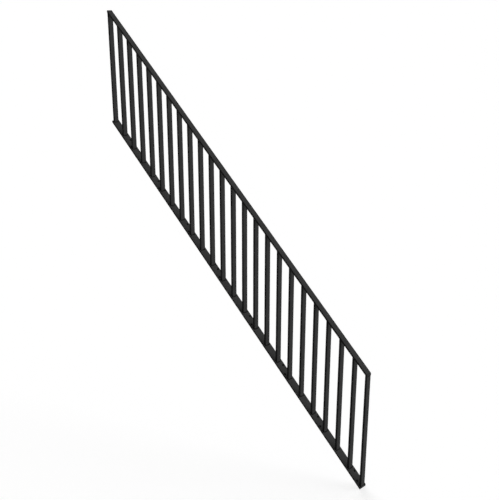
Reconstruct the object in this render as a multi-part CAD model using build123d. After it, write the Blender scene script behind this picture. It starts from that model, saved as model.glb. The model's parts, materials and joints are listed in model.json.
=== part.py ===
"""Straight steel stair railing: a raked panel of flat-bar uprights welded between two sloping flat bars.

Frame: origin in the middle of the base rail's underside, which is the face that sits on the stair's string.
+X runs level along the flight towards its foot, +Y goes across the panel and +Z is up. Units are millimetres.
"""

import os
from math import atan2, cos, degrees, sin, tan

from build123d import *

# Stair that the railing follows
STAIR_RISE = 190.0
STAIR_GOING = 230.0

# Panel
PANEL_RUN = 2586.0  # level length over both end posts
RAILING_HEIGHT = 855.0  # plumb, from the underside of the base rail to the top of the handrail
BALUSTER_COUNT = 22
LOWEST_CLEAR_GAP = 92.0  # level gap of the bay beside the lower end post, a little less than the even gaps

# Flat bars
UPRIGHT_WIDTH = 40.0  # across the panel
UPRIGHT_THICKNESS = 15.0  # along the flight
HANDRAIL_WIDTH = 45.0
HANDRAIL_THICKNESS = 12.0
BASE_RAIL_WIDTH = 65.0
BASE_RAIL_THICKNESS = 10.0
ARRIS_RADIUS = 1.0  # rolled edges of every bar

# Staggered fixing holes, measured along the underside of the base rail from its lower end
HOLE_DIAMETER = 9.0
HOLE_EDGE_DISTANCE = 17.0  # from each long edge of the base rail to a hole's centre
HOLE_STAGGER = 63.0  # between the two holes of a pair
FIRST_PAIR_DISTANCE = 87.0  # lower end to the middle of the first pair
PAIR_SPACING = 432.5

# Derived sizes
SLOPE = atan2(STAIR_RISE, STAIR_GOING)
PANEL_LENGTH = PANEL_RUN / cos(SLOPE)
UPPER_END = -PANEL_RUN / 2
LOWER_END = PANEL_RUN / 2
UPRIGHT_COUNT = BALUSTER_COUNT + 2  # with both end posts
EVEN_GAPS_RUN = PANEL_RUN - LOWEST_CLEAR_GAP - UPRIGHT_COUNT * UPRIGHT_THICKNESS
CLEAR_GAP = EVEN_GAPS_RUN / BALUSTER_COUNT
UPRIGHT_PITCH = UPRIGHT_THICKNESS + CLEAR_GAP
DRILL_LENGTH = 4 * BASE_RAIL_THICKNESS  # passes both faces of the base rail

# Offsets square to the slope, from the underside of the base rail
BASE_RAIL_TOP = BASE_RAIL_THICKNESS
HANDRAIL_TOP = RAILING_HEIGHT * cos(SLOPE)
HANDRAIL_UNDERSIDE = HANDRAIL_TOP - HANDRAIL_THICKNESS

# Along the slope towards the foot of the flight, and square to it
DOWN_SLOPE = Vector(cos(SLOPE), 0, -sin(SLOPE))
OFF_SLOPE = Vector(sin(SLOPE), 0, cos(SLOPE))


def height_at(x, offset):
    """Height of the sloping plane that lies that offset above the base rail's underside, at x."""
    return offset / cos(SLOPE) - x * tan(SLOPE)


def raked_bar(x_from, x_to, low_offset, high_offset, width):
    """Bar with plumb ends at x_from and x_to, between two sloping planes, centred across the panel."""
    outline = Polyline(
        (x_from, height_at(x_from, low_offset)),
        (x_to, height_at(x_to, low_offset)),
        (x_to, height_at(x_to, high_offset)),
        (x_from, height_at(x_from, high_offset)),
        close=True,
    )
    return extrude(Plane.XZ * make_face(outline), amount=width / 2, both=True)


def rolled(bar, direction):
    """Rounds the four long arrises of a bar that runs in the given direction."""
    long_edges = bar.edges().filter_by(Axis((0, 0, 0), direction))
    return fillet(long_edges, ARRIS_RADIUS)


def rail(low_offset, high_offset, width):
    """Sloping flat bar from end to end of the panel."""
    return rolled(raked_bar(UPPER_END, LOWER_END, low_offset, high_offset, width), DOWN_SLOPE)


def upright(centre_x):
    """Plumb flat bar, cut to the rake at its head and foot so that it seats on both rails."""
    half = UPRIGHT_THICKNESS / 2
    bar = raked_bar(centre_x - half, centre_x + half, BASE_RAIL_TOP, HANDRAIL_UNDERSIDE, UPRIGHT_WIDTH)
    return rolled(bar, (0, 0, 1))


def fixing_hole_places():
    """Distance up the slope from the lower end, and place across the rail, of every fixing hole."""
    across = BASE_RAIL_WIDTH / 2 - HOLE_EDGE_DISTANCE
    places = []
    middle = FIRST_PAIR_DISTANCE
    while middle + HOLE_STAGGER / 2 + HOLE_EDGE_DISTANCE <= PANEL_LENGTH:
        places.append((middle - HOLE_STAGGER / 2, -across))
        places.append((middle + HOLE_STAGGER / 2, across))
        middle += PAIR_SPACING
    return places


def base_rail():
    """Wide flat bar under the uprights, drilled square to the slope."""
    lower_corner = Vector(LOWER_END, 0, height_at(LOWER_END, 0))
    underside = Plane(origin=lower_corner, x_dir=-DOWN_SLOPE, z_dir=OFF_SLOPE)
    drill = Cylinder(HOLE_DIAMETER / 2, DRILL_LENGTH)
    # The plane's own y runs against +Y, because its x points up the slope
    holes = [underside * Pos(along, -across, 0) * drill for along, across in fixing_hole_places()]
    return rail(0, BASE_RAIL_TOP, BASE_RAIL_WIDTH) - holes


def upright_centres():
    """Level places of all uprights, from the upper end of the panel to its lower end."""
    first = UPPER_END + UPRIGHT_THICKNESS / 2
    evenly = [first + UPRIGHT_PITCH * i for i in range(BALUSTER_COUNT + 1)]
    return [*evenly, LOWER_END - UPRIGHT_THICKNESS / 2]


def build():
    """All pieces by name."""
    upper, *between, lower = upright_centres()
    pieces = {
        "handrail": rail(HANDRAIL_UNDERSIDE, HANDRAIL_TOP, HANDRAIL_WIDTH),
        "base_rail": base_rail(),
        "upper_end_post": upright(upper),
        "lower_end_post": upright(lower),
    }
    for number, x in enumerate(between, start=1):
        pieces[f"baluster_{number:02d}"] = upright(x)
    return pieces


os.makedirs("parts", exist_ok=True)
for name, solid in build().items():
    export_step(solid, f"parts/{name}.step")
print(f"slope {degrees(SLOPE):.2f} degrees, length {PANEL_LENGTH:.1f}, clear gap {CLEAR_GAP:.1f}")
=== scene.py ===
"""Looks of the steel stair railing: dark powder coat, weld beads at the bars' seats and a white studio."""

import json
import math

import bmesh
import bpy
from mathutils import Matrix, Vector, noise


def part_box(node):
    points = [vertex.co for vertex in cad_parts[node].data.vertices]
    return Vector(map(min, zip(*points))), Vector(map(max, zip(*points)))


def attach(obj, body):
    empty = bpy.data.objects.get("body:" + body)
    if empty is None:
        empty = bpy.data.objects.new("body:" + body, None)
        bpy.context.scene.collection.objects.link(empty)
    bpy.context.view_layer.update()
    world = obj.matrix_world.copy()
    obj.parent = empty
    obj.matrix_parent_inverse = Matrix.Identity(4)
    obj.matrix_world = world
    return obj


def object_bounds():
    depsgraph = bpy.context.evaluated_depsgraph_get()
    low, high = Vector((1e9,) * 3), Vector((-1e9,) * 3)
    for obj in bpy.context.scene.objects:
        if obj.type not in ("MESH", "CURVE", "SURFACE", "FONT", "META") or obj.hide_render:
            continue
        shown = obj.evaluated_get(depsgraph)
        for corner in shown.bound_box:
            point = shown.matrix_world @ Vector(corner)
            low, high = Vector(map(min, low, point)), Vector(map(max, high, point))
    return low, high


# Camera, matched to the photograph: metres, and radians from -X towards +Y and downwards
CAMERA_PLACE = (3.9298, -3.7214, 2.2051)
CAMERA_YAW = 0.78692
CAMERA_PITCH = 0.33818
FOCAL_LENGTH_PX = 793.0
FRAME_HEIGHT_PX = 500.0
SENSOR_MM = 36.0

# Powder coat: darkest and lightest linear grey on the bars and on the weld beads, and the grey of the
# painted edge shade
BAR_GREYS = (0.027, 0.040)
# The weld beads' near-black coat is painted shade in the seams where the uprights meet the rails
SEAM_SHADE_GREYS = (0.004, 0.008)
# Near-black grey towards which the arrises are darkened: painted edge shade
EDGE_SHADE_GREY = 0.004
COAT_SPECULAR = 0.015
COAT_ROUGHNESS = (0.42, 0.60)

# Pattern of the coat: features per metre, the part of a noise that is used, and the orange peel in metres
CLOUD_SCALE = 11.0
SMEAR_SCALE = 34.0
PATCH_SCALE = 95.0
PEEL_SCALE = 620.0
GRAIN_SCALE = 850.0
NOISE_RANGE = (0.35, 0.65)
SMEAR_RANGE = (0.3, 0.7)
PEEL_STRENGTH = 0.25
PEEL_DEPTH = 0.0004

# Painted shade on the arrises, darkening each bar's edges: reach in metres, least share of its dark grey
# that shows, and the cosines between the true and the rounded normal at which the darkening starts and is
# complete
ARRIS_REACH = 0.009
EDGE_SHADE_LEAST_SHARE = 0.7
ARRIS_COSINES = (0.990, 0.965)
ARRIS_SAMPLES = 6

# Painted shade in the bores of the fixing holes and a grime ring round each: reach from the middle of each,
# full and outermost, and half the room of one hole
HOLE_SHADE_AND_GRIME_GREY = 0.002
HOLE_SHADE_AND_GRIME_SHARE = 0.95
HOLE_SHADE_AND_GRIME_INNER = 0.0090
HOLE_SHADE_AND_GRIME_OUTER = 0.0102
HOLE_REACH = 0.012

# Light: where each sun comes from, and a floor that glows white to the eye but keeps a share of its shadows
AMBIENT = 0.08
FRONT_STRENGTH = 2.1
FRONT_FROM = (0.80, 0.35, 0.38)
KEY_STRENGTH = 1.6
KEY_FROM = (0.50, 0.80, 0.36)
FILL_STRENGTH = 2.0
FILL_FROM = (-0.80, 0.45, 0.40)
SUN_ANGLE = math.radians(50)
FLOOR_GLOW = 0.61
FLOOR_SHADOW_SHARE = 0.5
FLOOR_GREY = 0.35
FLOOR_HALF = 150.0

# Weld beads: lengths in metres, and crown, wander and ripples as shares of the leg
FOOT_LEG = 0.0032
HEAD_LEG = 0.0018
BEAD_STEP = 0.0009
BEAD_ROOT = 0.0006
BEAD_CROWN = 0.16
BEAD_WANDER = 0.14
WANDER_SCALE = 120.0
RIPPLE_LENGTH = 0.0036
RIPPLE_DEPTH = 0.11
RIPPLE_CURL = 0.35
CORNER_RADIUS = 0.001
CORNER_STEPS = 5
SECTION_STEPS = 6


def link_nodes(tree, *pairs):
    for source, target in pairs:
        tree.links.new(source, target)


def make_node(tree, kind, **inputs):
    """New shader node with some of its inputs set."""
    node = tree.nodes.new(kind)
    for name, value in inputs.items():
        node.inputs[name.replace("_", " ")].default_value = value
    return node


def grey(value):
    return (value, value, value, 1.0)


def noise_node(tree, coordinates, scale, detail, roughness=0.5):
    node = make_node(tree, "ShaderNodeTexNoise", Scale=scale, Detail=detail, Roughness=roughness)
    tree.links.new(coordinates, node.inputs["Vector"])
    return node.outputs["Fac"]


def ranged(tree, value, source, target):
    """The value with the source range stretched to the target range, and held at its ends."""
    node = tree.nodes.new("ShaderNodeMapRange")
    for name, number in zip(("From Min", "From Max", "To Min", "To Max"), (*source, *target)):
        node.inputs[name].default_value = number
    tree.links.new(value, node.inputs["Value"])
    return node.outputs["Result"]


def maths(tree, operation, first, second):
    node = tree.nodes.new("ShaderNodeMath")
    node.operation = operation
    link_nodes(tree, (first, node.inputs[0]), (second, node.inputs[1]))
    return node.outputs[0]


def mixed(tree, factor, first, second):
    """Colour that goes from first to second with the factor; either may be a socket or a colour."""
    node = tree.nodes.new("ShaderNodeMix")
    node.data_type = "RGBA"
    tree.links.new(factor, node.inputs["Factor"])
    for name, value in (("A", first), ("B", second)):
        socket = next(s for s in node.inputs if s.name == name and s.type == "RGBA")
        if isinstance(value, tuple):
            socket.default_value = value
        else:
            tree.links.new(value, socket)
    return next(s for s in node.outputs if s.type == "RGBA")


def edge_shade_mask(tree):
    """Near 1 on the arrises of a bar, 0 on its flats: where the edges get painted shade."""
    bevel = make_node(tree, "ShaderNodeBevel", Radius=ARRIS_REACH)
    bevel.samples = ARRIS_SAMPLES
    geometry = tree.nodes.new("ShaderNodeNewGeometry")
    cosine = tree.nodes.new("ShaderNodeVectorMath")
    cosine.operation = "DOT_PRODUCT"
    link_nodes(
        tree,
        (bevel.outputs["Normal"], cosine.inputs[0]),
        (geometry.outputs["Normal"], cosine.inputs[1]),
    )
    return ranged(tree, cosine.outputs["Value"], ARRIS_COSINES, (0.0, 1.0))


def hole_shade_and_grime_mask(tree, coordinates, points):
    """Full near any of the points, 0 away from them: painted shade in the holes and a grime ring round them.
    """
    nearest = None
    for point in points:
        distance = tree.nodes.new("ShaderNodeVectorMath")
        distance.operation = "DISTANCE"
        distance.inputs[1].default_value = point
        tree.links.new(coordinates, distance.inputs[0])
        value = distance.outputs["Value"]
        nearest = value if nearest is None else maths(tree, "MINIMUM", nearest, value)
    return ranged(tree, nearest, (HOLE_SHADE_AND_GRIME_INNER, HOLE_SHADE_AND_GRIME_OUTER), (HOLE_SHADE_AND_GRIME_SHARE, 0.0))


def coat_material(name, greys, painted_edge_shade=False, hole_shade_and_grime_points=()):
    """Powder coat between two greys: grain, orange peel, uneven gloss, and painted shade and grime at the
    given holes.

    Where asked, the arrises are darkened towards a near-black grey as painted edge shade."""
    darkest, lightest = greys
    material = bpy.data.materials.new(name)
    material.use_nodes = True
    tree = material.node_tree
    shader = tree.nodes["Principled BSDF"]
    shader.inputs["Specular IOR Level"].default_value = COAT_SPECULAR
    place = tree.nodes.new("ShaderNodeTexCoord").outputs["Object"]

    # Clouds and grain each give half of the way from the darkest to the lightest grey
    clouds = noise_node(tree, place, CLOUD_SCALE, detail=5.0, roughness=0.6)
    grain = noise_node(tree, place, GRAIN_SCALE, detail=2.0)
    halves = [ranged(tree, pattern, NOISE_RANGE, (0.0, 0.5)) for pattern in (clouds, grain)]
    colour = mixed(tree, maths(tree, "ADD", *halves), grey(darkest), grey(lightest))

    if painted_edge_shade:
        # Painted edge shade: the arrises darken towards near black, more in some patches than in others
        patches = noise_node(tree, place, PATCH_SCALE, detail=4.0, roughness=0.7)
        share = ranged(tree, patches, NOISE_RANGE, (EDGE_SHADE_LEAST_SHARE, 1.0))
        colour = mixed(tree, maths(tree, "MULTIPLY", edge_shade_mask(tree), share), colour, grey(EDGE_SHADE_GREY))
    # Painted shade in the holes' bores, with a grime ring round each hole
    if hole_shade_and_grime_points:
        colour = mixed(tree, hole_shade_and_grime_mask(tree, place, hole_shade_and_grime_points), colour, grey(HOLE_SHADE_AND_GRIME_GREY))

    smears = noise_node(tree, place, SMEAR_SCALE, detail=4.0, roughness=0.6)
    peel = noise_node(tree, place, PEEL_SCALE, detail=2.0)
    bump = make_node(tree, "ShaderNodeBump", Strength=PEEL_STRENGTH, Distance=PEEL_DEPTH)
    link_nodes(
        tree,
        (colour, shader.inputs["Base Color"]),
        (ranged(tree, smears, SMEAR_RANGE, COAT_ROUGHNESS), shader.inputs["Roughness"]),
        (peel, bump.inputs["Height"]),
        (bump.outputs["Normal"], shader.inputs["Normal"]),
    )
    return material


def seat_corners(node, rake, at_head):
    """The two ends in x of an upright's seat on a rail, each as (x, z), and half the bar's width."""
    low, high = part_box(node)
    if at_head:
        ends = ((low.x, high.z), (high.x, high.z - rake * (high.x - low.x)))
    else:
        ends = ((low.x, low.z + rake * (high.x - low.x)), (high.x, low.z))
    return ends, (high.y - low.y) / 2


def bead_path(node, rake, at_head, open_side):
    """Points round an upright's seat with their outward directions, in the plane of the rail.

    open_side is -1 or 1 where the bar's uphill or downhill face is flush with the rail's end and has no
    bead, and 0 where the bead goes all the way round."""
    (upper, lower), half_width = seat_corners(node, rake, at_head)
    down = Vector((1, 0, -rake)).normalized()
    across = Vector((0, 1, 0))
    middle = Vector(((upper[0] + lower[0]) / 2, 0, (upper[1] + lower[1]) / 2))
    half_length = (Vector((lower[0], 0, lower[1])) - middle).length
    if open_side:
        # Three sides only: from the flush end along one edge, round the inner face, and back
        inner = -open_side
        corners = [(open_side, -inner), (inner, -inner), (inner, inner), (open_side, inner)]
    else:
        corners = [(1, -1), (1, 1), (-1, 1), (-1, -1)]
    points = []
    for index, (along, side) in enumerate(corners):
        ends_here = open_side and index in (0, len(corners) - 1)
        corner = middle + down * (along * half_length) + across * (side * half_width)
        before = corners[index - 1]
        after = corners[(index + 1) % len(corners)]
        if ends_here:
            points.append((corner, across * side))
            continue
        first = down * along if before[0] == along else across * side
        second = down * along if after[0] == along else across * side
        centre = corner - (down * along + across * side) * CORNER_RADIUS
        for step in range(CORNER_STEPS + 1):
            angle = math.pi / 2 * step / CORNER_STEPS
            outward = first * math.cos(angle) + second * math.sin(angle)
            points.append((centre + outward * CORNER_RADIUS, outward))
    if not open_side:
        points.append(points[0])
    return points


def resampled(points, step):
    """The path cut into even steps, with the distance run at each point."""
    result = []
    run = 0.0
    for (a, outward_a), (b, outward_b) in zip(points, points[1:]):
        length = (b - a).length
        pieces = max(1, round(length / step))
        for i in range(pieces):
            share = i / pieces
            outward = outward_a.lerp(outward_b, share).normalized()
            result.append((a.lerp(b, share), outward, run + share * length))
        run += length
    result.append((*points[-1], run))
    return result


def add_bead(mesh, path, up, leg, closed):
    """A rippled fillet between a rail and an upright's wall, swept along the path."""
    rings = []
    samples = path[:-1] if closed else path
    total = path[-1][2]
    ripple = total / round(total / RIPPLE_LENGTH)
    for point, outward, run in samples:
        wander = 1 + BEAD_WANDER * noise.noise(point * WANDER_SCALE)
        ring = []
        for step in range(SECTION_STEPS + 1):
            share = step / SECTION_STEPS
            spread = 4 * share * (1 - share)
            wave = math.sin(2 * math.pi * (run / ripple + RIPPLE_CURL * spread))
            size = leg * wander * (1 + RIPPLE_DEPTH * wave * spread)
            crown = (outward + up).normalized() * (BEAD_CROWN * leg * spread)
            ring.append(point + outward * (size * (1 - share)) + up * (size * share) + crown)
        ring.append(point - (outward + up).normalized() * BEAD_ROOT)
        rings.append([mesh.verts.new(v) for v in ring])
    count = len(rings)
    sides = len(rings[0])
    for i in range(count if closed else count - 1):
        here, there = rings[i], rings[(i + 1) % count]
        for j in range(sides):
            k = (j + 1) % sides
            mesh.faces.new((here[j], there[j], there[k], here[k]))
    if not closed:
        mesh.faces.new(reversed(rings[0]))
        mesh.faces.new(rings[-1])


def weld_beads(name, uprights, rake, at_head, material):
    """The beads of all uprights on one rail, as one piece."""
    leg = HEAD_LEG if at_head else FOOT_LEG
    up = Vector((0, 0, -1 if at_head else 1))
    build = bmesh.new()
    for node in uprights:
        open_side = {"upper_end_post": -1, "lower_end_post": 1}.get(node, 0)
        path = resampled(bead_path(node, rake, at_head, open_side), BEAD_STEP)
        add_bead(build, path, up, leg, closed=not open_side)
    bmesh.ops.recalc_face_normals(build, faces=build.faces)
    mesh = bpy.data.meshes.new(name)
    build.to_mesh(mesh)
    build.free()
    mesh.shade_smooth()
    mesh.materials.append(material)
    piece = bpy.data.objects.new(name, mesh)
    bpy.context.scene.collection.objects.link(piece)
    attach(piece, "root")


def seen_rays(tree):
    """1 for what the camera, a reflection or a clear surface sees, 0 for light that falls on the object."""
    rays = tree.nodes.new("ShaderNodeLightPath").outputs
    seen = maths(tree, "MAXIMUM", rays["Is Camera Ray"], rays["Is Glossy Ray"])
    return maths(tree, "MAXIMUM", seen, rays["Is Transmission Ray"])


def make_world():
    """White to the eye, and a dim even light on the object."""
    world = bpy.data.worlds.new("studio")
    bpy.context.scene.world = world
    world.use_nodes = True
    tree = world.node_tree
    light = tree.nodes["Background"]
    light.inputs["Color"].default_value = grey(1.0)
    light.inputs["Strength"].default_value = AMBIENT
    white = make_node(tree, "ShaderNodeBackground", Color=grey(1.0), Strength=1.0)
    mix = tree.nodes.new("ShaderNodeMixShader")
    link_nodes(
        tree,
        (seen_rays(tree), mix.inputs[0]),
        (light.outputs[0], mix.inputs[1]),
        (white.outputs[0], mix.inputs[2]),
        (mix.outputs[0], tree.nodes["World Output"].inputs["Surface"]),
    )


def make_floor(height):
    """Level floor that looks white with a faint shadow, and throws back the light of a grey one."""
    mesh = bpy.data.meshes.new("floor")
    corners = [(-1, -1), (1, -1), (1, 1), (-1, 1)]
    mesh.from_pydata([(x * FLOOR_HALF, y * FLOOR_HALF, height) for x, y in corners], [], [(0, 1, 2, 3)])
    floor = bpy.data.objects.new("floor", mesh)
    bpy.context.scene.collection.objects.link(floor)
    material = bpy.data.materials.new("floor_white")
    material.use_nodes = True
    tree = material.node_tree
    tree.nodes.remove(tree.nodes["Principled BSDF"])
    pale = make_node(tree, "ShaderNodeBsdfDiffuse", Color=grey(FLOOR_GREY))
    shadowed = make_node(tree, "ShaderNodeBsdfDiffuse", Color=grey(FLOOR_SHADOW_SHARE))
    glow = make_node(tree, "ShaderNodeEmission", Color=grey(1.0), Strength=FLOOR_GLOW)
    both = tree.nodes.new("ShaderNodeAddShader")
    mix = tree.nodes.new("ShaderNodeMixShader")
    link_nodes(
        tree,
        (glow.outputs[0], both.inputs[0]),
        (shadowed.outputs[0], both.inputs[1]),
        (seen_rays(tree), mix.inputs[0]),
        (pale.outputs[0], mix.inputs[1]),
        (both.outputs[0], mix.inputs[2]),
        (mix.outputs[0], tree.nodes["Material Output"].inputs["Surface"]),
    )
    mesh.materials.append(material)


def make_sun(name, strength, comes_from, casts_shadow=True):
    """Soft sun; one that casts no shadow lights every bar alike, past the bars in front of it."""
    lamp = bpy.data.lights.new(name, "SUN")
    lamp.energy = strength
    lamp.angle = SUN_ANGLE
    lamp.use_shadow = casts_shadow
    sun = bpy.data.objects.new(name, lamp)
    sun.rotation_euler = Vector(comes_from).to_track_quat("Z", "Y").to_euler()
    bpy.context.scene.collection.objects.link(sun)


def make_camera():
    """The photograph's view."""
    data = bpy.data.cameras.new("camera")
    data.sensor_width = SENSOR_MM
    data.lens = FOCAL_LENGTH_PX * SENSOR_MM / FRAME_HEIGHT_PX
    camera = bpy.data.objects.new("camera", data)
    camera.location = CAMERA_PLACE
    level = Vector((-math.cos(CAMERA_YAW), math.sin(CAMERA_YAW), 0))
    looking = level * math.cos(CAMERA_PITCH) - Vector((0, 0, math.sin(CAMERA_PITCH)))
    camera.rotation_euler = looking.to_track_quat("-Z", "Y").to_euler()
    bpy.context.scene.collection.objects.link(camera)
    bpy.context.scene.camera = camera


def fixing_holes(node):
    """Middles of the holes drilled through a rail: the groups of vertices that lie inside its outline."""
    low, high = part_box(node.name)
    inset = HOLE_REACH / 2
    inside = [v.co.copy() for v in node.data.vertices if low.y + inset < v.co.y < high.y - inset]
    inside = [p for p in inside if low.x + inset < p.x < high.x - inset]
    groups = []
    for point in inside:
        group = next((g for g in groups if (g[0] - point).length < 2 * HOLE_REACH), None)
        if group is None:
            groups.append([point])
        else:
            group.append(point)
    return [sum(g, Vector()) / len(g) for g in groups]


bpy.context.scene.view_settings.view_transform = "Standard"
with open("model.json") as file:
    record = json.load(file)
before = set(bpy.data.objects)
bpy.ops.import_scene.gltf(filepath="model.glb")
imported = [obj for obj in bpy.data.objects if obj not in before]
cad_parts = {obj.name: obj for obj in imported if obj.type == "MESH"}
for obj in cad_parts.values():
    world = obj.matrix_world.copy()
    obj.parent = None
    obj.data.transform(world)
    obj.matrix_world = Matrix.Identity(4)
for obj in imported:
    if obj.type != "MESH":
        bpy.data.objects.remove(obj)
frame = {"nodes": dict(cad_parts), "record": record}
cad_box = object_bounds()

base_axis = next(m["axis"] for m in frame["record"]["mounts"] if m["kind"] == "flat_face")
slope_rake = base_axis[0] / base_axis[2]

holes = fixing_holes(frame["nodes"]["base_rail"])
bar_coat = coat_material("powder_coat", BAR_GREYS, painted_edge_shade=True)
drilled_coat = coat_material("powder_coat_drilled", BAR_GREYS, painted_edge_shade=True, hole_shade_and_grime_points=holes)
# Near-black coat of the weld beads: painted shade in the seams
seam_shade_coat = coat_material("powder_coat_seams", SEAM_SHADE_GREYS)
for node_name, node_object in frame["nodes"].items():
    node_object.data.materials.clear()
    node_object.data.materials.append(drilled_coat if node_name == "base_rail" else bar_coat)

uprights = [n for n in frame["nodes"] if n.startswith("baluster") or n.endswith("end_post")]
weld_beads("foot_welds", uprights, slope_rake, False, seam_shade_coat)
weld_beads("head_welds", uprights, slope_rake, True, seam_shade_coat)

make_world()
make_floor(cad_box[0].z)
make_sun("front", FRONT_STRENGTH, FRONT_FROM, casts_shadow=False)
make_sun("key", KEY_STRENGTH, KEY_FROM)
make_sun("fill", FILL_STRENGTH, FILL_FROM)
make_camera()
